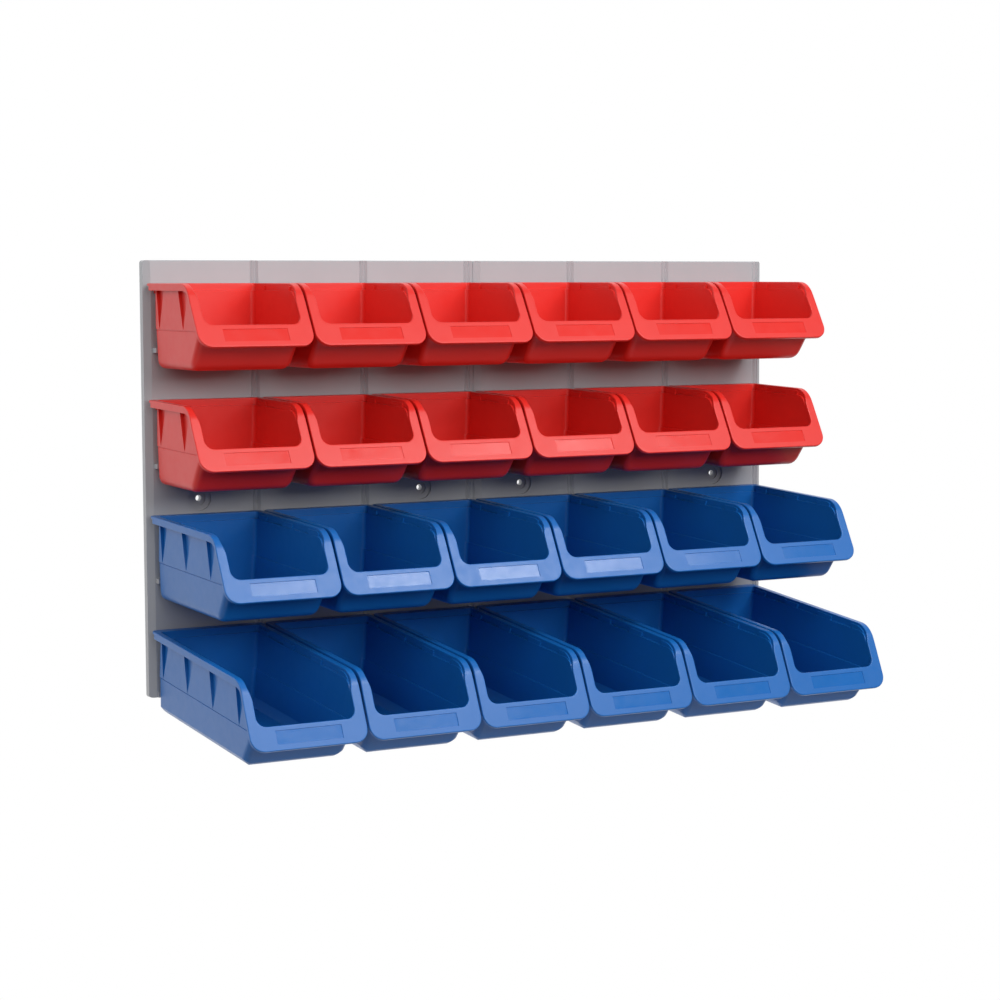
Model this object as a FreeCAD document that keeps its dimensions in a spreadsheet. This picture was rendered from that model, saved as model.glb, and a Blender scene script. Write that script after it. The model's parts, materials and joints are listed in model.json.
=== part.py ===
import FreeCAD, Part
import os
import re
import Sketcher

# Wall-hung rack of open-front storage bins, in millimetres.
# Frame: +X to the right along the rack, +Y into the wall, +Z up.
# Origin: centre of the rack's back face, on the wall plane.

V = FreeCAD.Vector
doc = FreeCAD.newDocument("BinRack")
sheet = doc.addObject("Spreadsheet::Sheet", "Sizes")

SIZES = {
    # the two wall panels
    "rack_width": 637.0, "rack_height": 369.0, "panel_depth": 9.0, "seam_gap": 0.4,
    "panel_corner": 2.5, "panel_ease": 0.8, "edge_slope": 6.0, "edge_fall": 3.0,
    "panel_skin": 3.0, "panel_wall": 3.5, "panel_web": 12.0,
    "column_pitch": 105.0, "column_shift": 4.1, "first_column": 50.05,
    "channel_offset": 51.1, "channel_width": 8.0, "channel_depth": 1.8, "channel_crest": 0.5,
    "row_pitch": 97.2, "first_rim_drop": 19.3,
    "seat_spread": 107.0, "dish_drop": 201.5, "dish_diameter": 21.0, "dish_depth": 2.0,
    "seat_diameter": 12.0, "seat_depth": 3.4, "screw_hole": 5.2, "boss_diameter": 27.0,
    # hook rails and bearing ribs on the panels
    "rail_length": 80.0, "rail_reach": 6.2, "rail_lip": 2.0, "rail_top_drop": 3.1,
    "rail_shelf_drop": 12.5, "rail_shelf": 2.5, "rail_root": 0.7,
    "rib_drop": 54.0, "rib_height": 4.0, "rib_gap": 0.4, "rib_end": 7.0, "rib_root": 2.0,
    # forward lean of each row of bins on its rail, degrees
    "lean_one": 0.5, "lean_two": 2.0, "lean_three": 3.0, "lean_four": 6.5,
    # bins: tub
    "bin_height": 71.0, "wall": 2.0, "back_gap": 8.5, "top_half": 46.8, "kink_half": 46.2,
    "foot_half": 44.6, "kink_drop": 38.0, "foot_round": 8.0, "foot_chamfer": 7.0,
    "heel_round": 5.0, "heel_chamfered": 3.0, "back_round": 5.0, "back_chamfered": 4.0,
    "setback_small": 35.0, "setback_medium": 32.0, "setback_long": 33.0,
    "tub_drop": 0.5, "lip_overlap": 1.5, "curve_drop": 10.0, "curve_back": 12.0,
    # bins: rim, hook and lip
    "hook_gap": 1.4, "hook_thick": 1.6, "hook_drop": 8.5, "hook_half": 42.0,
    "rim_thick": 2.2, "rim_band": 6.0, "rim_half": 51.2, "rim_curve": 20.0, "rim_corner": 5.0,
    "inner_curve": 14.0, "lip_half": 51.6, "lip_drop": 50.5, "lip_thick": 3.0,
    "lip_run": 0.57735, "lip_face": 1.1547, "lip_rise": 0.866, "lip_corner": 12.0,
    "flare_start": 3.0, "flare_end": 15.0, "slot_width": 2.4, "slot_inset": 1.6,
    "slot_start": 3.0, "slot_stop": 68.0,
    # bins: mouth and hollow
    "mouth_drop": 33.0, "mouth_back_drop": 34.5, "rake_drop": 37.6, "front_wall": 2.2,
    "mouth_half": 43.2, "mouth_round": 7.0, "web_reach": 4.0, "inner_round": 3.0,
    "inner_foot": 6.0, "inner_top_half": 43.8, "inner_kink_half": 43.6,
    "inner_foot_half": 42.4, "inner_floor": 69.0, "sky": 20.0,
    "step": 1.2, "step_inset": 2.4, "step_drop": 34.2, "rim_inner_half": 45.0,
    # bins: dents and label recess
    "dent_width": 17.0, "dent_first": 20.0, "dent_pitch": 49.5, "dent_pitch_long": 51.0,
    "dent_half": 45.4, "dent_top": 6.5, "dent_tip": 37.0,
    "label_width": 58.0, "label_height": 12.5, "label_offset": 3.8, "label_depth": 0.5,
    # bins: overall reach from the panel's face
    "reach_small": 115.3, "reach_medium": 162.7, "reach_long": 210.0,
}
for line, (alias, value) in enumerate(SIZES.items(), start=1):
    sheet.set("A%d" % line, alias)
    sheet.set("B%d" % line, repr(value))
    sheet.setAlias("B%d" % line, alias)
doc.recompute()

TO_YZ = FreeCAD.Rotation(V(1, 1, 1), 120)
TO_XZ = FreeCAD.Rotation(V(1, 0, 0), 90)
FRONT_EDGE = -50.0
BEYOND = "20"
TOUCH = 0.05
LIP_TILT = 30.0
RADIAN = 0.0174533
COLUMNS = 6
ROWS = ("one", "two", "three", "four")


def size(alias):
    """One value of the sheet as a number."""
    return float(sheet.get(alias))


def bound(text):
    """The expression with every size name read from the sheet."""
    return re.sub(r"[a-z_]+", lambda word: "Sizes." + word.group(0), text)


def number(text):
    """The value of an expression of size names and numbers, from left to right."""
    total = 0.0
    for sign, term in re.findall(r"([+-]?)\s*([^+-]+)", text):
        value = 1.0
        for step, factor in re.findall(r"([*/]?)\s*([a-z_]+|[0-9.]+)", term):
            part = size(factor) if factor[0].isalpha() else float(factor)
            value = value / part if step == "/" else value * part
        total += -value if sign == "-" else value
    return total


def outline(sketch, corners):
    """Closed polygon whose corners are pairs of expressions bound to the sheet."""
    points = [V(number(u), number(v), 0) for u, v in corners]
    count = len(points)
    first = sketch.GeometryCount
    for index, point in enumerate(points):
        sketch.addGeometry(Part.LineSegment(point, points[(index + 1) % count]), False)
    for index in range(count):
        following = first + (index + 1) % count
        sketch.addConstraint(Sketcher.Constraint("Coincident", first + index, 2, following, 1))
    for index, pair in enumerate(corners):
        for kind, text in zip(("DistanceX", "DistanceY"), pair):
            row = sketch.addConstraint(Sketcher.Constraint(kind, -1, 1, first + index, 1, number(text)))
            sketch.setExpression("Constraints[%d]" % row, bound(text))
    return sketch


def sketch_on(rotation, name, polygons, owner=None):
    """Sketch of one or more closed polygons, free or in a body."""
    if owner is None:
        sketch = doc.addObject("Sketcher::SketchObject", name)
        sketch.Placement = FreeCAD.Placement(V(), rotation)
    else:
        sketch = owner.newObject("Sketcher::SketchObject", name)
        plane = [item for item in owner.Origin.OriginFeatures if item.Role == rotation + "_Plane"][0]
        sketch.AttachmentSupport = [(plane, "")]
        sketch.MapMode = "FlatFace"
    for corners in polygons:
        outline(sketch, corners)
    return sketch


def extruded(name, sketch, direction, length, both=False):
    """Straight extrusion of a sketch; length is an expression."""
    solid = doc.addObject("Part::Extrusion", name)
    solid.Base = sketch
    solid.DirMode = "Custom"
    solid.Dir = direction
    solid.Solid = True
    solid.Symmetric = both
    solid.LengthFwd = number(length)
    solid.setExpression("LengthFwd", bound(length))
    doc.recompute()
    return solid


def joined(kind, name, solids):
    """Common or fusion of several objects."""
    result = doc.addObject("Part::" + kind, name)
    result.Shapes = solids
    result.Refine = True
    doc.recompute()
    return result


def cut(name, base, tool):
    """Base less tool."""
    result = doc.addObject("Part::Cut", name)
    result.Base = base
    result.Tool = tool
    result.Refine = True
    doc.recompute()
    return result


def edges_through(shape, direction, points):
    """Numbers of the straight edges along a direction that pass the given points."""
    found = []
    for index, edge in enumerate(shape.Edges, start=1):
        if edge.Curve.TypeId != "Part::GeomLine":
            continue
        if edge.Curve.Direction.cross(direction).Length > 0.2:
            continue
        line = Part.makeLine(edge.valueAt(edge.FirstParameter), edge.valueAt(edge.LastParameter))
        if any(line.distToShape(Part.Vertex(point))[0] < TOUCH for point in points):
            found.append(index)
    return found


def eased(kind, name, base, direction, points, radius):
    """Fillet or chamfer of the edges through the given points."""
    result = doc.addObject("Part::" + kind, name)
    result.Base = base
    amount = size(radius)
    result.Edges = [(index, amount, amount) for index in edges_through(base.Shape, direction, points)]
    doc.recompute()
    return result


def block(name, lengths, corner):
    """Box with its three lengths and its low corner given as expressions."""
    box = doc.addObject("Part::Box", name)
    for prop, text in zip(("Length", "Width", "Height"), lengths):
        box.setExpression(prop, bound(text))
    for axis, text in zip("xyz", corner):
        box.setExpression("Placement.Base." + axis, bound(text))
    doc.recompute()
    return box


# ---------------------------------------------------------------- bins

def bin_master(tag, reach, setback, dents, pitch, foot):
    """Bin in its own frame: origin on the panel's face, level with the top of its rim."""
    across = V(1, 0, 0)
    forward = V(0, -1, 0)
    up = V(0, 0, 1)
    chamfered = foot == "foot_chamfer"
    blunt = "Chamfer" if chamfered else "Fillet"
    heel_size = "heel_chamfered" if chamfered else "heel_round"
    back_size = "back_chamfered" if chamfered else "back_round"

    def sloping(inset, drop):
        """Corner on the sloping lip, inset behind its face, at a drop below the rim."""
        along = "-%s+lip_drop*lip_run-%s*lip_run+%s*lip_face" % (reach, drop, inset)
        return along, "-" + drop

    def front_section(name, halves, drops, radius, easing):
        """Body seen from the front, drawn out along Y, its two long bottom edges eased."""
        right = list(zip(halves, drops))
        left = [("-" + half, drop) for half, drop in reversed(right)]
        sketch = sketch_on(TO_XZ, tag + name, [right + left])
        solid = extruded(tag + name + "Long", sketch, forward, reach + "+" + BEYOND)
        bottom = number(drops[-1])
        points = [V(side * number(halves[-1]), FRONT_EDGE, bottom) for side in (-1, 1)]
        return eased(easing, tag + name + "Eased", solid, forward, points, radius)

    def body():
        """Tapered tub under the rim."""
        long_body = front_section("Body", ["top_half", "kink_half", "foot_half"],
                                  ["-tub_drop", "-kink_drop", "-bin_height"], foot, blunt)
        side = sketch_on(TO_YZ, tag + "BodySide", [[
            ("-back_gap", "-tub_drop"),
            ("-%s+lip_drop*lip_run+curve_back" % reach, "-tub_drop"),
            sloping("lip_overlap", "curve_drop"), sloping("lip_overlap", "rake_drop"),
            sloping("lip_thick", "rake_drop"),
            ("-%s+%s" % (reach, setback), "-bin_height"), ("-back_gap", "-bin_height")]])
        wide_body = extruded(tag + "BodyWide", side, across, "lip_half*2", True)
        heel = [V(0, -size("back_gap"), -size("bin_height"))]
        toe = [V(0, number("-%s+%s" % (reach, setback)), -size("bin_height"))]
        wide_body = eased("Fillet", tag + "BodyHeel", wide_body, across, heel + toe, heel_size)
        tub = joined("MultiCommon", tag + "Tub", [long_body, wide_body])
        back = -size("back_gap")
        posts = [V(side * size("top_half"), back, -size("tub_drop")) for side in (-1, 1)]
        posts += [V(side * size("kink_half"), back, -size("kink_drop")) for side in (-1, 1)]
        return eased("Fillet", tag + "TubEased", tub, up, posts, back_size)

    def band():
        """Rim flange that runs forward and folds down into the sloping lip."""
        side = sketch_on(TO_YZ, tag + "BandSide", [[
            ("-hook_gap", "0"), (sloping("0", "0")[0], "0"), ("-" + reach, "-lip_drop"),
            ("-%s+lip_thick*lip_rise" % reach, "-lip_drop-lip_thick/2"),
            sloping("lip_thick", "rim_band"), ("-back_gap", "-rim_band"),
            ("-back_gap", "-rim_thick"), ("-hook_gap", "-rim_thick")]])
        wide_band = extruded(tag + "BandWide", side, across, "lip_half*2+" + BEYOND, True)
        peak = [V(0, number(sloping("0", "0")[0]), 0)]
        curved = eased("Fillet", tag + "BandCurve", wide_band, across, peak, "rim_curve")
        under = [V(0, number(sloping("lip_thick", "rim_band")[0]), -size("rim_band"))]
        curved = eased("Fillet", tag + "BandUnder", curved, across, under, "inner_curve")
        shield = front_section("Shield", ["rim_half", "rim_half", "lip_half", "lip_half"],
                               ["rim_corner", "-flare_start", "-flare_end", "-lip_drop-lip_thick"],
                               "lip_corner", "Fillet")
        rim = joined("MultiCommon", tag + "Rim", [curved, shield])
        corners = [V(side * size("rim_half"), -size("hook_gap"), -1) for side in (-1, 1)]
        return eased("Fillet", tag + "RimEased", rim, up, corners, "rim_corner")

    def cavity():
        """Space inside the tub, open above and at the sloping mouth."""
        inside = front_section("Inside",
                               ["inner_top_half", "inner_top_half", "inner_kink_half", "inner_foot_half"],
                               ["sky", "-rim_band", "-kink_drop", "-inner_floor"], "inner_foot", blunt)
        over_lip = ("-%s-sky" % reach, "sky")
        side = sketch_on(TO_YZ, tag + "CavitySide", [[
            ("-back_gap-wall", "sky"), over_lip, ("-%s-sky" % reach, "-mouth_drop+10"),
            sloping("0", "mouth_drop"), sloping("lip_thick", "mouth_back_drop"),
            ("-%s+%s+front_wall" % (reach, setback), "-inner_floor"),
            ("-back_gap-wall", "-inner_floor")]])
        across_all = extruded(tag + "CavityWide", side, across, "lip_half*2", True)
        floor = [V(0, -size("back_gap") - size("wall"), -size("inner_floor")),
                 V(0, number("-%s+%s+front_wall" % (reach, setback)), -size("inner_floor"))]
        rounded = eased("Fillet", tag + "CavityHeel", across_all, across, floor, "inner_round")
        space = joined("MultiCommon", tag + "Space", [inside, rounded])
        back = -size("back_gap") - size("wall")
        posts = [V(side * size("inner_top_half"), back, -1) for side in (-1, 1)]
        posts += [V(side * size("inner_kink_half"), back, -size("kink_drop")) for side in (-1, 1)]
        return eased("Fillet", tag + "SpaceEased", space, up, posts, "inner_round")

    def upper_step():
        """Wider opening within the height of the rim band, leaving a ledge all round."""
        side = sketch_on(TO_YZ, tag + "StepSide", [[
            ("-back_gap-wall+step", "sky"), ("-%s-sky" % reach, "sky"),
            ("-%s-sky" % reach, "-mouth_drop+10"), sloping("0", "mouth_drop"),
            sloping("step_inset", "step_drop"), sloping("step_inset", "rim_band"),
            ("-back_gap-wall+step", "-rim_band")]])
        solid = extruded(tag + "Step", side, across, "rim_inner_half*2", True)
        under = [V(0, number(sloping("step_inset", "rim_band")[0]), -size("rim_band"))]
        curved = eased("Fillet", tag + "StepCurve", solid, across, under, "inner_curve")
        posts = [V(side * size("rim_inner_half"), number("-back_gap-wall+step"), 0) for side in (-1, 1)]
        return eased("Fillet", tag + "StepEased", curved, up, posts, "inner_round")

    def mouth_corners():
        """Two webs in the lip that round the lower corners of the mouth."""
        webs = []
        for name, corner in (("Right", "mouth_half-mouth_round"), ("Left", "-mouth_half-web_reach")):
            square = block(tag + "Web" + name, ("mouth_round+web_reach", "sky", "mouth_round"),
                           (corner, "-" + reach, "-mouth_drop"))
            pin = doc.addObject("Part::Cylinder", tag + "WebPin" + name)
            pin.setExpression("Radius", bound("mouth_round"))
            pin.setExpression("Height", bound("sky"))
            sign = "" if name == "Right" else "-"
            centre = V(number(sign + "mouth_half") - number(sign + "mouth_round"),
                       -size(reach) + size("sky"), size("mouth_round") - size("mouth_drop"))
            pin.Placement = FreeCAD.Placement(centre, FreeCAD.Rotation(V(1, 0, 0), 90))
            doc.recompute()
            webs.append(cut(tag + "WebCorner" + name, square, pin))
        both = joined("MultiFuse", tag + "WebPair", webs)
        return joined("MultiCommon", tag + "Webs", [both, doc.getObject(tag + "BandUnder")])

    def dent_cutter():
        """Shallow V-shaped dents in both side walls, wide under the rim, pointed at the kink."""
        triangles = []
        for index in range(dents):
            centre = "-dent_first-%s*%d" % (pitch, index)
            triangles.append([(centre + "-dent_width/2", "-dent_top"),
                              (centre, "-dent_tip"), (centre + "+dent_width/2", "-dent_top")])
        sketch = sketch_on(TO_YZ, tag + "DentSide", triangles)
        through = extruded(tag + "DentBars", sketch, across, "lip_half*2+" + BEYOND, True)
        core = block(tag + "DentCore", ("dent_half*2", reach, "bin_height"),
                     ("-dent_half", "-" + reach, "-bin_height"))
        return cut(tag + "Dents", through, core)

    def label_cutter():
        """Shallow label recess on the lip's face."""
        recess = block(tag + "Label", ("label_width", "label_depth+1", "label_height"),
                       ("-label_width/2", "0", "0"))
        below = size("label_offset") + size("label_height")
        start = size("mouth_drop") + below * size("lip_rise")
        face = number("-%s+lip_drop*lip_run" % reach) - start * size("lip_run")
        tilt = FreeCAD.Rotation(V(1, 0, 0), -LIP_TILT)
        lift = tilt.multVec(V(0, -1, 0))
        recess.Placement = FreeCAD.Placement(V(-size("label_width") / 2, face, -start) + lift, tilt)
        doc.recompute()
        return recess

    def slots():
        """Slots under the side rims, between the tub's wall and the rim's skirt."""
        length = reach + "-slot_stop"
        made = []
        for name, start in (("Right", "rim_half-slot_inset-slot_width"), ("Left", "-rim_half+slot_inset")):
            made.append(block(tag + "Slot" + name, ("slot_width", length, "rim_band-rim_thick+1"),
                              (start, "-back_gap-slot_start-%s+slot_stop" % reach, "-rim_band-1")))
        return made

    hook = block(tag + "Hook", ("hook_half*2", "hook_thick", "hook_drop-1"),
                 ("-hook_half", "-hook_gap-hook_thick", "-hook_drop"))
    solid = joined("MultiFuse", tag + "Solid", [body(), band(), hook])
    hollow = joined("MultiFuse", tag + "Hollow", [cavity(), upper_step()])
    hollow = cut(tag + "Mouth", hollow, mouth_corners())
    shell = cut(tag + "Shell", solid, hollow)
    trims = joined("MultiFuse", tag + "Trims", [dent_cutter(), label_cutter()] + slots())
    return cut(tag + "Bin", shell, trims)


def place_bins():
    """Six bins on each of the four rails, every one its own solid, leaning on its rail."""
    small = bin_master("Small", "reach_small", "setback_small", 2, "dent_pitch", "foot_round")
    medium = bin_master("Medium", "reach_medium", "setback_medium", 3, "dent_pitch", "foot_round")
    long_bin = bin_master("Long", "reach_long", "setback_long", 4, "dent_pitch_long", "foot_chamfer")
    kinds = (("small_bin_top_row", small), ("small_bin_second_row", small),
             ("medium_bin_third_row", medium), ("long_bin_bottom_row", long_bin))
    bins = []
    for row, (label, master) in enumerate(kinds):
        for column in range(COLUMNS):
            name = "%s_%d" % (label, column + 1)
            hung = doc.addObject("Part::Feature", name)
            hung.Shape = master.Shape.copy()
            hung.Label = name
            hung.setExpression("Placement.Base.x", bound("column_pitch*%.1f-column_shift" % (column - 2.5)))
            hung.setExpression("Placement.Base.y", bound("-panel_depth"))
            hung.setExpression("Placement.Base.z", bound(rim_level(row)))
            lean = FreeCAD.Rotation(V(1, 0, 0), size("lean_" + ROWS[row]))
            hung.Placement = FreeCAD.Placement(hung.Placement.Base, lean)
            bins.append(hung)
    return bins


# ---------------------------------------------------------------- wall panels

def rim_level(row):
    """Height of a row's hanging line, as an expression."""
    return "rack_height/2-first_rim_drop-row_pitch*%d" % row


def rectangle(low_u, low_v, high_u, high_v):
    """Four corners of an upright rectangle, as expressions."""
    return [(low_u, low_v), (high_u, low_v), (high_u, high_v), (low_u, high_v)]


def feature(body, kind, name, sketch, length, **settings):
    """Pad or pocket of a sketch inside a body; length is an expression."""
    made = body.newObject("PartDesign::" + kind, name)
    made.Profile = sketch
    made.Length = number(length)
    made.setExpression("Length", bound(length))
    for prop, value in settings.items():
        setattr(made, prop, value)
    doc.recompute()
    return made


def circles_on(body, name, centres, diameter, offset):
    """Sketch of equal circles on the body's XZ plane, moved forward by an expression."""
    sketch = sketch_on("XZ", name, [], body)
    sketch.AttachmentOffset = FreeCAD.Placement(V(0, 0, number(offset)), FreeCAD.Rotation())
    for index, (across, height) in enumerate(centres):
        centre = V(number(across), number(height), 0)
        sketch.addGeometry(Part.Circle(centre, V(0, 0, 1), size(diameter) / 2), False)
        for kind, text in (("DistanceX", across), ("DistanceY", height)):
            row = sketch.addConstraint(Sketcher.Constraint(kind, -1, 1, index, 3, number(text)))
            sketch.setExpression("Constraints[%d]" % row, bound(text))
        row = sketch.addConstraint(Sketcher.Constraint("Diameter", index, size(diameter)))
        sketch.setExpression("Constraints[%d]" % row, bound(diameter))
    doc.recompute()
    return sketch


def panel(tag, start, label):
    """One of the two identical panels; start is its left edge, as an expression."""
    body = doc.addObject("PartDesign::Body", tag)
    body.Label = label
    face = "-panel_depth"
    width = "rack_width/2-seam_gap/2"
    columns = [start + "+first_column+column_pitch*%d" % step for step in range(COLUMNS // 2)]
    channels_at = [column + "+channel_offset" for column in columns]

    def plate():
        """Flat plate with rounded corners and an eased edge round its front face."""
        outline_sketch = sketch_on("XZ", tag + "PlateSketch", [
            rectangle(start, "-rack_height/2", start + "+" + width, "rack_height/2")], body)
        pad = feature(body, "Pad", tag + "Plate", outline_sketch, "panel_depth")
        corners = body.newObject("PartDesign::Fillet", tag + "Corners")
        corners.Base = (pad, ["Edge%d" % index for index in edges_along(pad.Shape, V(0, 1, 0))])
        corners.setExpression("Radius", bound("panel_corner"))
        doc.recompute()
        bevel = body.newObject("PartDesign::Chamfer", tag + "Bevel")
        front = [index for index, edge in enumerate(corners.Shape.Edges, start=1)
                 if edge.BoundBox.YMax < TOUCH - size("panel_depth")]
        bevel.Base = (corners, ["Edge%d" % index for index in front])
        bevel.setExpression("Size", bound("panel_ease"))
        doc.recompute()

    def channels():
        """Full-height channels with a crest right of every column, and the sloping side edges."""
        end = start + "+" + width
        sections = [[(start + "-1", face + "-1"), (start + "+edge_slope", face + "-1"),
                     (start + "+edge_slope", face), (start, face + "+edge_fall"),
                     (start + "-1", face + "+edge_fall")],
                    [(end + "+1", face + "-1"), (end + "+1", face + "+edge_fall"),
                     (end, face + "+edge_fall"), (end + "-edge_slope", face),
                     (end + "-edge_slope", face + "-1")]]
        for centre in channels_at:
            sections.append([
                (centre + "-channel_width/2", face + "-1"), (centre + "-channel_width/2", face),
                (centre + "-channel_width/4", face + "+channel_depth"),
                (centre, face + "+channel_crest"),
                (centre + "+channel_width/4", face + "+channel_depth"),
                (centre + "+channel_width/2", face), (centre + "+channel_width/2", face + "-1")])
        sketch = sketch_on("XY", tag + "ChannelSketch", sections, body)
        feature(body, "Pocket", tag + "Channels", sketch, "rack_height+2", Midplane=True)

    def pans():
        """Three shallow pans in the back, leaving a skin, a border and webs."""
        lefts = [start + "+panel_wall"] + [at + "+panel_web/2" for at in channels_at[:2]]
        rights = [at + "-panel_web/2" for at in channels_at]
        outlines = [rectangle(left, "-rack_height/2+panel_wall", right, "rack_height/2-panel_wall")
                    for left, right in zip(lefts, rights)]
        sketch = sketch_on("XZ", tag + "PanSketch", outlines, body)
        feature(body, "Pocket", tag + "Pans", sketch, "panel_depth-panel_skin", Reversed=True)

    def screw_seats():
        """Bosses behind, dished seats in front and the screw holes through them."""
        height = "rack_height/2-dish_drop"
        places = [(columns[1] + "-seat_spread", height), (columns[1] + "+seat_spread", height)]
        boss = circles_on(body, tag + "BossSketch", places, "boss_diameter", "0")
        feature(body, "Pad", tag + "Bosses", boss, "panel_depth-panel_skin")
        for name, diameter, depth in (("Dish", "dish_diameter", "dish_depth"),
                                      ("Seat", "seat_diameter", "seat_depth"),
                                      ("Hole", "screw_hole", "panel_depth+1")):
            ring = circles_on(body, tag + name + "Sketch", places, diameter, "panel_depth")
            feature(body, "Pocket", tag + name, ring, depth)

    def rails():
        """Hook rails, one for every bin: a shelf with an upstanding lip."""
        top = rim_level(0)
        sketch = sketch_on("YZ", tag + "RailSketch", [[
            (face + "+rail_root", top + "-rail_shelf_drop-rail_shelf"),
            (face + "+rail_root", top + "-rail_shelf_drop"),
            (face + "-rail_reach+rail_lip", top + "-rail_shelf_drop"),
            (face + "-rail_reach+rail_lip", top + "-rail_top_drop"),
            (face + "-rail_reach", top + "-rail_top_drop"),
            (face + "-rail_reach", top + "-rail_shelf_drop-rail_shelf")]], body)
        sketch.AttachmentOffset = FreeCAD.Placement(V(0, 0, number(columns[0])), FreeCAD.Rotation())
        rail = feature(body, "Pad", tag + "Rail", sketch, "rail_length", Midplane=True)
        body.Tip = rail
        grid = body.newObject("PartDesign::MultiTransform", tag + "RailGrid")
        grid.Originals = [rail]
        steps = []
        for name, role, pitch, count, back in (
                ("Columns", "X_Axis", "column_pitch", COLUMNS // 2, False),
                ("Rows", "Z_Axis", "row_pitch", len(ROWS), True)):
            step = body.newObject("PartDesign::LinearPattern", tag + "Rail" + name)
            axis = [item for item in body.Origin.OriginFeatures if item.Role == role][0]
            step.Direction = (axis, [""])
            step.Reversed = back
            step.setExpression("Length", bound("%s*%d" % (pitch, count - 1)))
            step.Occurrences = count
            steps.append(step)
        grid.Transformations = steps
        body.Tip = grid
        doc.recompute()

    def ribs():
        """Bearing ribs that the backs of the bins lean on, one along each row."""
        middle = number(start + "+rack_width/4-seam_gap/4")
        for row, word in enumerate(ROWS):
            deepest = size("rib_drop") + size("rib_height")
            reach = size("back_gap") - deepest * size("lean_" + word) * RADIAN
            crest = face + "-%.3f+rib_gap" % reach
            root = face + "+rib_root"
            level = rim_level(row) + "-rib_drop"
            sketch = sketch_on("YZ", tag + "RibSketch" + word.capitalize(), [[
                (root, level), (crest, level), (crest, level + "-rib_height"),
                (root, level + "-rib_height")]], body)
            sketch.AttachmentOffset = FreeCAD.Placement(V(0, 0, middle), FreeCAD.Rotation())
            feature(body, "Pad", tag + "Rib" + word.capitalize(), sketch,
                    width + "-rib_end*2", Midplane=True)

    plate()
    channels()
    pans()
    screw_seats()
    rails()
    ribs()
    return body


def edges_along(shape, direction):
    """Numbers of the straight edges parallel to a direction."""
    found = []
    for index, edge in enumerate(shape.Edges, start=1):
        straight = edge.Curve.TypeId == "Part::GeomLine"
        if straight and edge.Curve.Direction.cross(direction).Length < TOUCH:
            found.append(index)
    return found


def save(parts):
    """Check every object and write each part as one STEP file."""
    for item in doc.Objects:
        if "Invalid" in item.State or "Error" in item.State:
            raise RuntimeError("%s: %s" % (item.Name, item.State))
    os.makedirs("parts", exist_ok=True)
    for item in parts:
        if item.Shape.isNull() or not item.Shape.isValid() or len(item.Shape.Solids) != 1:
            raise RuntimeError("%s is not one valid solid" % item.Label)
        item.Shape.exportStep("parts/%s.step" % item.Label)
        print(item.Label, "%.1f cm3" % (item.Shape.Volume / 1000))


panels = [panel("LeftPanel", "-rack_width/2", "wall_panel_left"),
          panel("RightPanel", "seam_gap/2", "wall_panel_right")]
bins = place_bins()
doc.recompute()
save(panels + bins)
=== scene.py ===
# %% [markdown]
# # A wall rack of hanging storage bins
# The real object is a pair of injection-moulded polypropylene wall panels with hook rails,
# and 24 open-front bins hung on them: two rows of small red ones, one row of medium blue
# ones and one row of long blue ones. The frame below brings in the CAD model. It fixes where
# every part is. The lesson then works out finer surfaces for the same parts with numpy.

# %% Load the frame
import json
import math

import bpy
import numpy as np
from mathutils import Matrix, Vector


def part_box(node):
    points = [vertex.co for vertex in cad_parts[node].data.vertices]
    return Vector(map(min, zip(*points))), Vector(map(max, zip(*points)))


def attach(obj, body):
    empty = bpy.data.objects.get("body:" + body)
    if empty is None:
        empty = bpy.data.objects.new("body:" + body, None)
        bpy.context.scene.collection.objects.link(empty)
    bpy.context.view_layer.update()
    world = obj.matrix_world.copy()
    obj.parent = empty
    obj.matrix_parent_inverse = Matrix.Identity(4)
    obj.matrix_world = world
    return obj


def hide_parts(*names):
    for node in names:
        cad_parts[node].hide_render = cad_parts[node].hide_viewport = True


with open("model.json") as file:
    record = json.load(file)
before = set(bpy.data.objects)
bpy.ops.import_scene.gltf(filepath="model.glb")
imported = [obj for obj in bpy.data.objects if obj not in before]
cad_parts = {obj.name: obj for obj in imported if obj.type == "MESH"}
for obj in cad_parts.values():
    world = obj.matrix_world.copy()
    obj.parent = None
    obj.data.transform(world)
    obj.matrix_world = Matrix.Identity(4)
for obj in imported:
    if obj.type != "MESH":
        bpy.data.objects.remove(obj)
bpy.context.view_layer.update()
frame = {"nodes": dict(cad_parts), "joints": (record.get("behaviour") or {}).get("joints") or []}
MM = 0.001

# %% [markdown]
# ## Where each bin hangs
# A bin slides up along its own back, so the slide joint's axis tells how far the bin leans.
# Its hanging point is the corner of the panel's face and the level of its rim. The node's
# box gives both: the box is highest at the rear of the rim and deepest at the hook.

# %% Hanging point and lean of every bin
PANEL_NODES = [name for name in frame["nodes"] if name.startswith("wall_panel")]
BIN_NODES = sorted(name for name in frame["nodes"] if "_bin_" in name)
HOOK_GAP, HOOK_DROP = 1.4, 8.5


def hanging_point(node):
    """Centre, face and rim level of a bin in mm, and its lean in radians."""
    joint = next(item for item in frame["joints"] if item["child"] == node)
    lean = math.atan2(-joint["axis"][1], joint["axis"][2])
    low, high = (np.array(corner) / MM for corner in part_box(node))
    face = high[1] + HOOK_GAP * math.cos(lean) - HOOK_DROP * math.sin(lean)
    level = high[2] + HOOK_GAP * math.sin(lean)
    return np.array([(low[0] + high[0]) / 2, face, level]), lean


for node in BIN_NODES[::6]:
    point, lean = hanging_point(node)
    print(node, point.round(2), round(math.degrees(lean), 2))

# %% [markdown]
# ## Colours and nodes
# Colours are written as sRGB hex, as a paint chart gives them. Blender's shaders want linear
# light, so one function converts them. One helper adds a shader node with its settings and
# links, which keeps every material below short.

# %% Colour and node helpers


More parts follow.
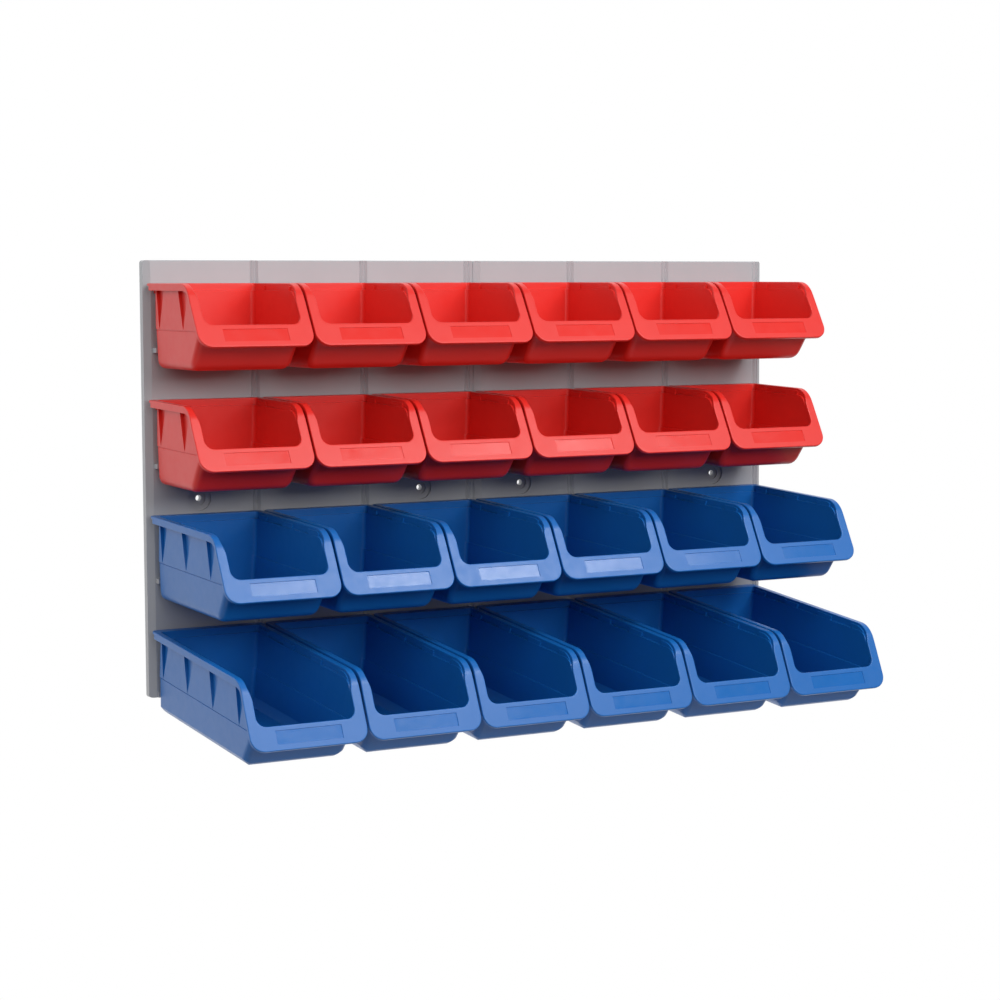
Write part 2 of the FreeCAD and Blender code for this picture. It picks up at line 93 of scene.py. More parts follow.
def linear(hex_code):
    """sRGB hex to linear RGBA. Values under 0.04045 are divided by 12.92; the rest follow the 2.4 power."""
    srgb = np.array([int(hex_code[i : i + 2], 16) for i in (1, 3, 5)]) / 255
    rgb = np.where(srgb <= 0.04045, srgb / 12.92, ((srgb + 0.055) / 1.055) ** 2.4)
    return (*rgb, 1.0)


def add(tree, kind, settings=None, inputs=None, links=None):
    """Adds one node: settings are properties, inputs socket values, links socket names to outputs."""
    node = tree.nodes.new(kind)
    for name, value in (settings or {}).items():
        setattr(node, name, value)
    for name, value in (inputs or {}).items():
        node.inputs[name].default_value = value
    for name, output in (links or {}).items():
        tree.links.new(output, node.inputs[name])
    return node


# %% [markdown]
# ## Moulded polypropylene
# All parts are injection-moulded polypropylene. The tool is spark-eroded, so the skin has a
# very fine texture that spreads highlights, and the melt leaves long faint flow marks and
# slight waves where the walls cooled. So the finish is built from three patterns in real
# millimetres: waves of about 30 mm and grain of 0.6 mm in the bump, and clouding of about
# 40 mm in the colour. Fine dust and handling make the roughness vary a little.

# %% Plastic materials
CLOUDS_PER_M, SPECKLES_PER_M, WAVES_PER_M = 25.0, 140.0, 33.0
GRAIN, GRAIN_HEIGHT, WAVE_HEIGHT = 0.6, 0.03, 0.2
PLASTIC_IOR = 1.49


def noise(tree, place, scale, detail, roughness=0.5):
    """Noise pattern in object coordinates; scale counts its patches in a metre."""
    made = add(tree, "ShaderNodeTexNoise",
               inputs={"Scale": scale, "Detail": detail, "Roughness": roughness},
               links={"Vector": place})
    return made.outputs["Fac"]


def moulded_plastic(name, colour, deep, roughness):
    """Moulded polypropylene: clouded colour between two hex values, waves and grain as bump."""
    material = bpy.data.materials.new(name)
    material.use_nodes = True
    tree = material.node_tree
    tree.nodes.clear()
    place = add(tree, "ShaderNodeTexCoord").outputs["Object"]
    blend = add(tree, "ShaderNodeMix", {"data_type": "RGBA"}, {6: linear(colour), 7: linear(deep)},
                {0: noise(tree, place, CLOUDS_PER_M, 3.0, 0.55)})
    gloss = add(tree, "ShaderNodeMapRange",
                inputs={"From Min": 0.3, "From Max": 0.7,
                        "To Min": roughness - 0.04, "To Max": roughness + 0.05},
                links={"Value": noise(tree, place, SPECKLES_PER_M, 4.0, 0.6)})
    wavy = add(tree, "ShaderNodeBump", inputs={"Strength": 0.5, "Distance": WAVE_HEIGHT * MM},
               links={"Height": noise(tree, place, WAVES_PER_M, 1.0)})
    grainy = add(tree, "ShaderNodeBump", inputs={"Strength": 0.25, "Distance": GRAIN_HEIGHT * MM},
                 links={"Height": noise(tree, place, 1 / (GRAIN * MM), 2.0),
                        "Normal": wavy.outputs["Normal"]})
    skin = add(tree, "ShaderNodeBsdfPrincipled", inputs={"IOR": PLASTIC_IOR, "Metallic": 0.0},
               links={"Base Color": blend.outputs[2], "Roughness": gloss.outputs["Result"],
                      "Normal": grainy.outputs["Normal"]})
    add(tree, "ShaderNodeOutputMaterial", links={"Surface": skin.outputs["BSDF"]})
    return material


RED = moulded_plastic("moulded_polypropylene_red", "#E83028", "#E02A24", 0.34)
BLUE = moulded_plastic("moulded_polypropylene_blue", "#166ABB", "#1164B0", 0.33)
GREY = moulded_plastic("moulded_polypropylene_grey", "#B6B7BB", "#AEAFB3", 0.36)
RED_WINDOW = moulded_plastic("polished_label_window_red", "#E83028", "#E02A24", 0.2)
BLUE_WINDOW = moulded_plastic("polished_label_window_blue", "#166ABB", "#1164B0", 0.2)
print("materials:", [item.name for item in bpy.data.materials])

# %% [markdown]
# ## The bin as a stack of loops
# A bin is one closed skin. Walk round the bin with a finger and you draw a loop: along the
# rear, round a rear corner, down one side, over the curved shoulder, down the sloping lip,
# round its corner and along its front. Stack such loops from the middle of the floor inside,
# up the inner walls, over the rim and down outside to the middle of the underside, and the
# whole skin is one grid. Every loop has the same number of points, so neighbours join in quads.
#
# The rim follows a path in the side view: level, then a 20 mm curve through 60 degrees, then
# straight down the lip. Rim loops are drawn flat in (across, along the path) and bent onto it.

# %% Bin sizes in millimetres
CURVE, TURN = 20.0, math.pi / 3
LIP_DROP, LIP_HALF, LIP_CORNER, LIP_THICK = 50.5, 51.6, 12.0, 3.0
RIM_HALF, RIM_CORNER, RIM_THICK, RIM_BAND = 51.2, 5.0, 2.2, 6.0
INNER_HALF, MOUTH_HALF, MOUTH_DROP, MOUTH_CORNER = 45.5, 43.2, 33.0, 8.0
FLARE_START, FLARE_END = 3.0, 15.0
KINK, HEIGHT, FLOOR = 38.0, 71.0, 69.0
TOP_HALF, KINK_HALF, FOOT_HALF = 46.8, 46.2, 44.6
INNER_TOP, INNER_KINK, INNER_FOOT = 43.6, 43.4, 41.6
BACK_GAP, WALL, STEP, FRONT_WALL = 8.5, 2.0, 1.3, 2.2
RAKE_DROP, MOUTH_BACK_DROP = 37.6, 34.5
LABEL_HALF, LABEL_DEEP = 29.0, 0.5
DENT_WIDTH, DENT_FIRST, DENT_TOP = 18.5, 20.0, 6.5
DENT_DEEP = 2.5
REAR_ROUND, FRONT_ROUND, INNER_REAR_ROUND, INNER_FRONT_ROUND = 5.0, 6.0, 3.0, 3.5
INNER_FOOT_ROUND, HEEL_ROUND, INNER_HEEL_ROUND, BLUNT_HEEL = 6.0, 5.0, 3.0, 3.0
KINK_LIP, KINK_GROOVE, FLOOR_MIDDLE, LIP_MARGIN = 0.5, 0.4, 40.0, 5.0
KINDS = {
    "small": dict(reach=115.3, setback=35.0, dents=2, pitch=49.5, foot=8.0, blunt=False),
    "medium": dict(reach=162.7, setback=32.0, dents=3, pitch=49.5, foot=8.0, blunt=False),
    "long": dict(reach=210.0, setback=33.0, dents=4, pitch=51.0, foot=7.0, blunt=True),
}


def shoulder(kind):
    """Distances along the rim's path where the curve starts and ends, and where the lip ends."""
    level = kind["reach"] - LIP_DROP / math.tan(TURN) - CURVE * math.tan(TURN / 2) - HOOK_GAP
    bend = level + CURVE * TURN
    end = bend + (LIP_DROP - CURVE * (1 - math.cos(TURN))) / math.sin(TURN)
    return level, bend, end


def rim_point(kind, s, n):
    """Point on the rim's path at distance s and depth n under its face.
    Level: (-gap - s, 0). Curve: centre + R (-sin a, cos a) with a = (s - start) / R. Then straight on."""
    level, bend, _ = shoulder(kind)
    a = np.clip((s - level) / CURVE, 0, TURN)
    past = np.maximum(s - bend, 0)
    y = -HOOK_GAP - np.minimum(s, level) - (CURVE - n) * np.sin(a) - past * math.cos(TURN)
    z = (CURVE - n) * np.cos(a) - CURVE - past * math.sin(TURN)
    return y, z


def drop_to_s(kind, drop):
    """Distance along the path at which the lip's face is that far under the rim."""
    return shoulder(kind)[1] + (drop - CURVE * (1 - math.cos(TURN))) / math.sin(TURN)


for label, kind in KINDS.items():
    print(label, "path marks in mm:", [round(v, 1) for v in shoulder(kind)])

# %% [markdown]
# ## Columns
# The columns down the sides are not evenly spaced: some of them are the edges of the V-shaped
# dents in the side walls. A dent is 18.5 mm wide under the rim and comes to a point at the kink
# line, so its columns close up on the way down. The other columns fill the gaps evenly.

# %% Columns of the side walls
DENT_SPREAD = np.array([-0.52, -0.5, -0.375, -0.25, -0.125, 0, 0.125, 0.25, 0.375, 0.5, 0.52])
DENT_TIP = np.array([-0.5, -0.3, -0.2, -0.12, -0.06, 0, 0.06, 0.12, 0.2, 0.3, 0.5])
REAR_SHARE = np.array([0, 0.3, 0.63, 0.94, 0.95])
FRONT_AT = np.array([LABEL_HALF, LABEL_HALF - 0.25, 19, 9.5, 0])
CORNER_STEPS, LIP_STEPS, SLOPE_STEPS = 6, 10, 6
FIRST_COLUMN = 12.6


def side_columns(kind):
    """Path distances of the side columns up to the lip, their distances from the panel at the kink,
    and 1 where a column runs in the floor of a dent. Its edges are straight in the side view."""
    level, bend, _ = shoulder(kind)
    widen = (KINK - RIM_THICK) / (KINK - DENT_TOP)
    top, kink, sunk = [], [], []
    for index in range(kind["dents"]):
        centre = DENT_FIRST + kind["pitch"] * index
        edges = centre - HOOK_GAP + DENT_SPREAD * DENT_WIDTH * widen
        if index:
            share = np.linspace(0, 1, 6)[1:-1]
            top += list(top[-1] + share * (edges[0] - top[-1]))
            kink += list(kink[-1] + share * (centre + DENT_TIP[0] - kink[-1]))
            sunk += [0.0] * len(share)
        top += list(edges)
        kink += list(centre + DENT_TIP)
        sunk += [0.0] + [1.0] * 9 + [0.0]
    count = int((bend - top[-1]) / 1.8) + 1
    over = top[-1] + (bend - top[-1]) * np.arange(1, count + 1) / count
    top = np.maximum(top + list(over), FIRST_COLUMN + 0.1 * np.arange(len(top) + count))
    return top, np.array(kink), np.array(sunk + [0.0] * count)


for label, kind in KINDS.items():
    print(label, "side columns:", len(side_columns(kind)[0]) + SLOPE_STEPS)

# %% [markdown]
# ## One loop
# A loop is drawn as its left half and mirrored. It is a rectangle with rounded corners whose
# sides may flare. The same function draws the loops of the rim, where the second number is the
# distance along the path, and the loops of the tub, where it is the distance from the panel.

# %% Half loops and their mirror


def half_loop(rear, front, sides, half_front, rear_round, front_round, columns, half_rear=None):
    """Left half of a rounded rectangle, from the middle of the rear to the middle of the front.
    Corner points are centre + r (sin a, -cos a). Returns the distances across and along, and how
    far each point faces sideways, 0 to 1."""
    half_rear = sides[0] if half_rear is None else half_rear
    a = np.linspace(0, math.pi / 2, CORNER_STEPS + 1)
    b = np.linspace(0, math.pi / 2, LIP_STEPS + 1)
    across = np.concatenate([
        REAR_SHARE * (half_rear - rear_round), half_rear - rear_round + rear_round * np.sin(a),
        sides, half_front - front_round + front_round * np.cos(b), FRONT_AT])
    along = np.concatenate([
        np.full(len(REAR_SHARE), rear), rear + rear_round - rear_round * np.cos(a),
        columns, front - front_round + front_round * np.sin(b), np.full(len(FRONT_AT), front)])
    facing = np.concatenate([
        np.zeros(len(REAR_SHARE)), np.sin(a), np.ones(len(sides)), np.cos(b), np.zeros(len(FRONT_AT))])
    return across, along, facing


def whole_loop(across, y, z):
    """Closed loop of points from its left half: the right half is the mirror image, walked back."""
    left = np.stack([-across, y, z], axis=1)
    right = left[-2:0:-1] * np.array([-1.0, 1.0, 1.0])
    return np.concatenate([left, right])


# %% [markdown]
# ## All loops of a bin
# The loops come in four groups: the inside of the tub, the rim and lip, the skirt under the
# rim, and the outside of the tub. The rim is nearly 6 mm wide with edges rounded to 0.7 mm, a
# band 6 mm deep, a ledge inside and a skirt that covers the tops of the dents.
# The walls are straight between a few loops, so only the rounded parts need many.

# %% Rim loops


def smooth(t):
    """Eased step: 3 t^2 - 2 t^3 between 0 and 1."""
    t = np.clip(t, 0, 1)
    return t * t * (3 - 2 * t)


def path_columns(kind, rear_end, front_start):
    """Path distances of the side columns of a rim loop: two that close the rear corner, the
    shared ones up to the lip, and evenly spaced ones down the lip."""
    _, bend, _ = shoulder(kind)
    top, _, _ = side_columns(kind)
    lead = rear_end + np.array([0.27, 0.31]) * (FIRST_COLUMN - rear_end)
    down = bend + (front_start - bend) * np.arange(1, SLOPE_STEPS) / SLOPE_STEPS
    return np.concatenate([lead, top, down])


def flare(kind, s, rear_half, front_half):
    """Half width along the rim, eased from one value to the other down the top of the lip."""
    start, end = drop_to_s(kind, FLARE_START), drop_to_s(kind, FLARE_END)
    return rear_half + (front_half - rear_half) * smooth((s - start) / (end - start))


def rim_loop(kind, rear, front, rear_half, front_half, rear_round, front_round, inset=0.0):
    """Half loop on the rim in (across, path distance), moved inwards by inset on every side."""
    rear_round, front_round = max(rear_round - inset, 0.4), max(front_round - inset, 0.4)
    rear, front = rear + inset, front - inset
    columns = path_columns(kind, rear + rear_round, front - front_round)
    sides = flare(kind, columns, rear_half, front_half) - inset
    return half_loop(rear, front, sides, front_half - inset, rear_round, front_round, columns,
                     rear_half - inset)


def outer_edge(kind, inset):
    """Outline of the rim and lip."""
    end = shoulder(kind)[2]
    return rim_loop(kind, 0.0, end, RIM_HALF, LIP_HALF, RIM_CORNER, LIP_CORNER, inset)


def inner_edge(kind, inset):
    """Outline of the mouth."""
    rear = BACK_GAP + WALL - STEP - HOOK_GAP
    end = drop_to_s(kind, MOUTH_DROP)
    return rim_loop(kind, rear, end, INNER_HALF, MOUTH_HALF, 3.0, MOUTH_CORNER, inset)


def along_path(kind, s, flat, sloping):
    """A depth that is one value on the level part, another on the lip, and eases round the curve."""
    level, bend, _ = shoulder(kind)
    return flat + (sloping - flat) * smooth((s - level) / (bend - level))


def on_rim(kind, half, depth):
    """Loop of points at a depth under the rim's face."""
    across, s, _ = half
    y, z = rim_point(kind, s, depth)
    return whole_loop(across, y, z)


ROUND_STEPS = np.array([0, 0.25, 0.5, 0.75, 1.0]) * math.pi / 2
LABEL_SHARES = np.array([0.06, 0.171, 0.182, 0.38, 0.58, 0.769, 0.78, 0.94])


def rim_loops(kind):
    """Ledge, band, rounded inner edge, face with the label recess, rounded outer edge, skirt and
    underside. Returns the loops and the numbers of the first and last loop of the recess floor."""
    inner_round, outer_round = 0.7, 0.8
    loops = []
    mouth = inner_edge(kind, 0.0)
    band = along_path(kind, mouth[1], RIM_BAND, 2.4)
    band = np.where(mouth[2] < 1, np.where(mouth[1] > shoulder(kind)[1], 3 - 0.6 * mouth[2], band), band)
    loops.append(on_rim(kind, mouth, band))
    loops.append(on_rim(kind, mouth, band * 0.45))
    for a in ROUND_STEPS:
        half = inner_edge(kind, -inner_round * (1 - math.cos(a)))
        loops.append(on_rim(kind, half, np.full(len(half[0]), inner_round * (1 - math.sin(a)))))
    first, last = inner_edge(kind, -inner_round), outer_edge(kind, outer_round)
    start = len(loops)
    for share in LABEL_SHARES:
        half = [(1 - share) * one + share * two for one, two in zip(first, last)]
        recess = 0.175 < share < 0.775
        front = (half[2] < 1e-6) & (half[1] > shoulder(kind)[1]) & (half[0] < LABEL_HALF - 0.1)
        loops.append(on_rim(kind, half, np.where(recess & front, LABEL_DEEP, 0.0)))
    for a in ROUND_STEPS:
        half = outer_edge(kind, outer_round * (1 - math.sin(a)))
        loops.append(on_rim(kind, half, np.full(len(half[0]), outer_round * (1 - math.cos(a)))))
    edge = outer_edge(kind, 0.0)
    under = along_path(kind, edge[1], RIM_THICK, LIP_THICK)
    skirt = along_path(kind, edge[1], RIM_BAND, LIP_THICK)
    skirt = np.where(edge[1] < 7.2, RIM_THICK, skirt)
    skirt[: len(REAR_SHARE) - 1] = HOOK_DROP
    for inset, depth in ((0.0, skirt - 0.45), (0.13, skirt - 0.13), (0.45, skirt), (1.15, skirt),
                         (1.5, np.maximum(skirt - 0.3, under)), (1.9, under)):
        loops.append(on_rim(kind, outer_edge(kind, inset), depth))
    return loops, (start + 2, start + 5)


# %% [markdown]
# The tub narrows twice: gently to a kink 38 mm under the rim, where the wall steps in behind
# a fine groove outside and a rounded ledge inside, and more below it. The front wall rakes back
# from the lip to the foot. Bottom edges are rounded, or chamfered on the long bins, with a curve
# between three loops: wall, sharp corner and floor.

# %% Tub loops


def taper(z, top, kink, foot, lowest):
    """Half width at a height: straight from top to kink and from kink to foot."""
    upper = top + (kink - top) * np.clip(-z / KINK, 0, 1)
    return upper + (foot - kink) * np.clip((-z - KINK) / (lowest - KINK), 0, 1)


def rake(kind, z, inside):
    """Distance from the panel of the front wall at a height, on its outer or inner face."""
    reach, setback = kind["reach"], kind["setback"]
    rise, run = math.cos(math.pi / 6), math.tan(math.pi / 6)
    if inside:
        drop, end, lowest = MOUTH_BACK_DROP, reach - setback - FRONT_WALL, FLOOR
    else:
        drop, end, lowest = RAKE_DROP, reach - setback, HEIGHT
    start = reach - (LIP_DROP - drop) * run - LIP_THICK / rise
    return start + (end - start) * (-z - drop) / (lowest - drop)


def tub_loop(kind, z, inside, shrink=(0.0, 0.0), narrower=0.0):
    """Level loop round the tub; shrink is how far its sides and its ends move inwards."""
    outer_halves = (TOP_HALF, KINK_HALF, FOOT_HALF, HEIGHT)
    halves = (INNER_TOP, INNER_KINK, INNER_FOOT, FLOOR) if inside else outer_halves
    half = float(taper(np.array(z), *halves)) - shrink[0] - narrower
    rear = BACK_GAP + (WALL if inside else 0.0) + shrink[1]
    front = float(rake(kind, z, inside)) - shrink[1]
    full_front_round = INNER_FRONT_ROUND if inside else FRONT_ROUND
    rear_round = max((INNER_REAR_ROUND if inside else REAR_ROUND) - max(shrink), 0.5)
    front_round = max(full_front_round - max(shrink), 0.5)
    _, kink, _ = side_columns(kind)
    begin, finish = rear + rear_round, front - front_round
    reach_kink = float(rake(kind, -KINK, inside)) - full_front_round
    whole = np.concatenate([kink, kink[-1] + (reach_kink - kink[-1]) * ahead_share(kind)])
    share = (whole - BACK_GAP - REAR_ROUND) / (reach_kink - BACK_GAP - REAR_ROUND)
    share = np.concatenate([share[0] * np.array([0.3, 0.6]), share])
    columns = begin + share * (finish - begin)
    return half_loop(rear, front, np.full(len(columns), half), half, rear_round, front_round, columns)


def ahead_share(kind):
    """How the columns after the last dent share the way to the front corner, 0 to 1."""
    top, kink, _ = side_columns(kind)
    _, bend, end = shoulder(kind)
    front = drop_to_s(kind, RAKE_DROP) - LIP_MARGIN
    slope = bend + (front - bend) * np.arange(1, SLOPE_STEPS) / SLOPE_STEPS
    after = np.concatenate([top[len(kink):], slope])
    return (after - top[len(kink) - 1]) / (front - top[len(kink) - 1])


def level_loop(half, z):
    """Loop of points at one height, or at a height for each point."""
    across, along, _ = half
    return whole_loop(across, -along, np.broadcast_to(z, across.shape))


def shrunken(half, z, shares):
    """Level loops that close in on the middle of a floor by the given shares."""
    across, along, _ = half
    return [level_loop((across * share, FLOOR_MIDDLE + (along - FLOOR_MIDDLE) * share, None), z)
            for share in shares]


def foot_loops(kind, inside, steps=5):
    """Rounded or chamfered bottom edge, P(t) = (1-t)^2 wall + 2t(1-t) corner + t^2 floor, loop by
    loop. On a chamfer the corner loop lies near the chord, so the curve is almost straight."""
    lowest = FLOOR if inside else HEIGHT
    side = INNER_FOOT_ROUND if inside else kind["foot"]
    outer_ends = BLUNT_HEEL if kind["blunt"] else HEEL_ROUND
    ends = INNER_HEEL_ROUND if inside else outer_ends
    sharp = tub_loop(kind, -lowest, inside)
    facing = sharp[2]
    rise = ends + (side - ends) * facing
    low, high = tub_loop(kind, -lowest + ends, inside), tub_loop(kind, -lowest + side, inside)
    mixed = [(1 - facing) * one + facing * two for one, two in zip(low, high)]
    wall = level_loop(mixed, -lowest + rise)
    corner = level_loop(sharp, -lowest)
    floor = level_loop(tub_loop(kind, -lowest, inside, (side, ends)), -lowest)
    if kind["blunt"]:
        corner = (wall + floor) / 2 + 0.2 * (corner - (wall + floor) / 2)
    t = np.linspace(0, 1, steps + 1)[:, None, None]
    return list((1 - t) ** 2 * wall + 2 * t * (1 - t) * corner + t * t * floor)


def dent_share(share):
    """How deep a dent is at a share of the way from the rim down to its tip: (1 - t)(1 + 2t)."""
    return (1 - share) * (1 + 2 * share)


def sink(kind, loop, depth):
    """Moves the columns that run in dents inwards by a depth, on both sides of a loop."""
    _, _, sunk = side_columns(kind)
    start = len(REAR_SHARE) + CORNER_STEPS + 3
    moved = loop.copy()
    moved[start : start + len(sunk), 0] += depth * sunk
    back = len(loop) - np.arange(start, start + len(sunk))
    moved[back, 0] -= depth * sunk
    return moved


def inner_loops(kind):
    """From the middle of the floor up the inner walls to the ledge under the rim."""
    lowest = tub_loop(kind, -FLOOR, True, (INNER_FOOT_ROUND, INNER_HEEL_ROUND))
    floor = shrunken(lowest, -FLOOR, (0.6, 0.97))
    walls = foot_loops(kind, True)[::-1]
    for z, narrower in ((-50.0, 0.6), (-KINK - 0.9, 0.9), (-KINK - 0.3, 0.75), (-KINK - 0.05, 0.35),
                        (-KINK, 0.0)):
        walls.append(level_loop(tub_loop(kind, z, True, narrower=narrower), z))
    ledge = ledge_loop(kind, 0.0)
    kink_loop = walls[-1]
    walls += [kink_loop + (ledge - kink_loop) * share for share in (0.1, 0.4, 0.7)]
    return floor + walls + [ledge, ledge_loop(kind, -0.3)]


def ledge_loop(kind, inset):
    """Inner edge of the ledge, where the inner walls start."""
    rear = BACK_GAP + WALL - HOOK_GAP
    end = drop_to_s(kind, MOUTH_DROP)
    across, s, facing = rim_loop(kind, rear, end, INNER_TOP, MOUTH_HALF, INNER_REAR_ROUND,
                                 MOUTH_CORNER, inset)
    band = along_path(kind, s, RIM_BAND, 2.4)
    band = np.where((facing < 1) & (s > shoulder(kind)[1]), 3 - 0.6 * facing, band) + 0.15
    y, z = rim_point(kind, s, band)
    start = len(REAR_SHARE) + CORNER_STEPS + 1
    limit = taper(z, INNER_TOP, INNER_KINK, INNER_FOOT, FLOOR)
    side = np.arange(len(across))
    on_side = (side >= start) & (side < len(across) - len(FRONT_AT) - LIP_STEPS - 1)
    across = np.where(on_side, np.minimum(limit - inset, across), across)
    return whole_loop(across, y, z)


def outer_loops(kind):
    """From the underside of the rim down the outer walls, round the foot to the middle of the base."""
    rear = BACK_GAP - HOOK_GAP
    end = drop_to_s(kind, RAKE_DROP - 1.5)
    across, s, _ = rim_loop(kind, rear, end, TOP_HALF, KINK_HALF, REAR_ROUND, FRONT_ROUND)
    y, z = rim_point(kind, s, along_path(kind, s, RIM_THICK, LIP_THICK))
    limit = taper(z, TOP_HALF, KINK_HALF + KINK_LIP, FOOT_HALF, HEIGHT)
    side = np.arange(len(across))
    start = len(REAR_SHARE) + CORNER_STEPS + 1
    on_side = (side >= start) & (side < len(across) - len(FRONT_AT) - LIP_STEPS - 1)
    top = whole_loop(np.where(on_side, limit, across), y, z)
    kink = level_loop(tub_loop(kind, -KINK, False, narrower=-KINK_LIP), -KINK)
    walls = [sink(kind, top + (kink - top) * share, DENT_DEEP * dent_share(share))
             for share in (0, 0.3, 0.6, 0.9)] + [kink]
    for drop, narrower in ((KINK + 0.1, KINK_GROOVE), (KINK + 0.9, KINK_GROOVE), (KINK + 1.1, 0.0),
                           (50.0, 0.0)):
        walls.append(level_loop(tub_loop(kind, -drop, False, narrower=narrower), -drop))
    foot = foot_loops(kind, False)
    base = shrunken(tub_loop(kind, -HEIGHT, False, (kind["foot"], HEEL_ROUND)), -HEIGHT, (0.97, 0.6))
    return walls + foot + base


def bin_loops(kind):
    """Every loop of a bin from inside to outside, as an array of loops by points by three, and the
    numbers of the loops that bound the label recess."""
    inner = inner_loops(kind)
    rim, recess = rim_loops(kind)
    loops = np.array(inner + rim + outer_loops(kind))
    return loops, [place + len(inner) for place in recess]


for label, kind in KINDS.items():
    loops, recess = bin_loops(kind)
    print(label, "loops, points in each:", loops.shape[:2])

# %% [markdown]
# ## From loops to a mesh
# Neighbouring loops join in quads and the first and last loop are closed with one flat face.
# The volume under the faces tells whether they point outwards: for a closed skin it is the
# sum of a . (b x c) / 6 over its triangles, and it has to be positive.

# %% Mesh helpers


def skin_faces(loops, points):
    """Quads between neighbouring closed loops, as an array of corner numbers."""
    row, column = np.meshgrid(np.arange(loops - 1), np.arange(points), indexing="ij")
    here, beside = row * points + column, row * points + (column + 1) % points
    return np.stack([here, beside, beside + points, here + points], axis=-1).reshape(-1, 4)


def volume(points, quads, caps):
    """Signed volume of a skin of quads and flat caps."""
    triangles = np.concatenate([quads[:, [0, 1, 2]], quads[:, [0, 2, 3]]] + [
        np.stack([np.full(len(cap) - 2, cap[0]), cap[1:-1], cap[2:]], axis=1) for cap in caps])
    a, b, c = (points[triangles[:, k]] for k in range(3))
    return float((a * np.cross(b, c)).sum() / 6)


def finish_piece(name, points, faces, materials, slot_numbers, body, node):
    """Makes the object, shades it smooth with sharp edges past 30 degrees, and hangs it on its body."""
    mesh = bpy.data.meshes.new(name)
    mesh.from_pydata((points * MM).tolist(), [], faces)
    mesh.polygons.foreach_set("material_index", slot_numbers)
    for material in materials:
        mesh.materials.append(material)
    mesh.polygons.foreach_set("use_smooth", [True] * len(mesh.polygons))
    mesh.set_sharp_from_angle(angle=math.radians(30))
    mesh.validate()
    piece = bpy.data.objects.new(name, mesh)
    bpy.context.scene.collection.objects.link(piece)
    weighted = piece.modifiers.new("even_shading", "WEIGHTED_NORMAL")
    weighted.keep_sharp = True
    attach(piece, body)
    if node:
        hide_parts(node)
    return piece


def lean_and_hang(points, place, lean):
    """Turns points about X by the lean and moves them to the hanging point."""
    c, s = math.cos(lean), math.sin(lean)
    turn = np.array([[1, 0, 0], [0, c, -s], [0, s, c]])
    return points @ turn.T + place


# %% [markdown]
# ## The 24 bins
# Bins of one kind share their loops. Each is turned by its row's lean and moved to its own
# hanging point, so its place is in its mesh, as the frame asks.

# %% Build and hang the bins


def make_bin(node):
    """One bin in the place of its CAD node."""
    label = node.split("_")[0]
    kind = KINDS[label]
    loops, recess = bin_loops(kind)
    count, points = loops.shape[:2]
    place, lean = hanging_point(node)
    skin = lean_and_hang(loops.reshape(-1, 3), place, lean)
    quads = skin_faces(count, points)
    caps = [np.arange(points)[::-1], np.arange(points) + (count - 1) * points]
    if volume(skin - place, quads, caps) < 0:
        quads, caps = quads[:, ::-1], [cap[::-1] for cap in caps]
    row, column = np.divmod(np.arange(len(quads)), points)
    middle = points // 2
    window = (row >= recess[0]) & (row < recess[1]) & (np.abs(column + 0.5 - middle) < len(FRONT_AT) - 1)
    slots = np.concatenate([window.astype(int), [0, 0]])
    red = label == "small"
    finishes = [RED, RED_WINDOW] if red else [BLUE, BLUE_WINDOW]
    faces = quads.tolist() + [cap.tolist() for cap in caps]
    return finish_piece(node + "_moulding", skin, faces, finishes, slots, node, node)


BINS = [make_bin(node) for node in BIN_NODES]
print("bins made:", len(BINS), "faces in the last:", len(BINS[-1].data.polygons))

# %% [markdown]
# ## The wall panels
# The panels keep their CAD shape: channels, hook rails, bearing ribs and dished screw seats are
# all in it. They only take the grey plastic.

# %% Panels
for node in PANEL_NODES:
    frame["nodes"][node].data.materials.clear()
    frame["nodes"][node].data.materials.append(GREY)

# %% [markdown]
# ## Studio
# A pale floor well below the rack, air that is white behind it and dimmer in front, and four
# soft lights: a key from the front right, one above it, a broad one low in front that reaches
# into the bins, and a weak fill from the left.

# %% Floor and surroundings


def plain(name, colour):
    """Matt painted surface of one colour."""
    material = bpy.data.materials.new(name)
    material.use_nodes = True
    tree = material.node_tree
    skin = tree.nodes["Principled BSDF"]
    skin.inputs["Base Color"].default_value = linear(colour)
    skin.inputs["Roughness"].default_value = 0.9
    return material


SPAN, DEPTH = 1.5, -1.6
floor_mesh = bpy.data.meshes.new("studio_floor")
corners = [(-SPAN, -SPAN, DEPTH), (SPAN, -SPAN, DEPTH), (SPAN, SPAN, DEPTH), (-SPAN, SPAN, DEPTH)]
floor_mesh.from_pydata(corners, [], [(0, 1, 2, 3)])
floor_mesh.materials.append(plain("pale_floor_paint", "#D0D0D0"))
floor = bpy.data.objects.new("studio_floor", floor_mesh)
bpy.context.scene.collection.objects.link(floor)


def white_behind(name, front, below, back):
    """World that is bright white behind the rack, dimmer in front and dimmest in front from below."""
    world = bpy.data.worlds.new(name)
    world.use_nodes = True
    tree = world.node_tree
    tree.nodes.clear()
    way = add(tree, "ShaderNodeTexCoord").outputs["Generated"]
    split = add(tree, "ShaderNodeSeparateXYZ", links={"Vector": way})
    dim = add(tree, "ShaderNodeMapRange",
              inputs={"From Min": -0.3, "From Max": 0.2, "To Min": below, "To Max": front},
              links={"Value": split.outputs["Z"]})
    share = add(tree, "ShaderNodeMapRange",
                inputs={"From Min": -0.1, "From Max": 0.45, "To Max": back},
                links={"Value": split.outputs["Y"], "To Min": dim.outputs["Result"]})
    air = add(tree, "ShaderNodeBackground", inputs={"Color": (1, 1, 1, 1)},
              links={"Strength": share.outputs["Result"]})
    add(tree, "ShaderNodeOutputWorld", links={"Surface": air.outputs["Background"]})
    return world


bpy.context.scene.world = white_behind("studio_air", 0.3, 0.04, 1.0)
bpy.context.scene.view_settings.view_transform = "Standard"

# %% Lights


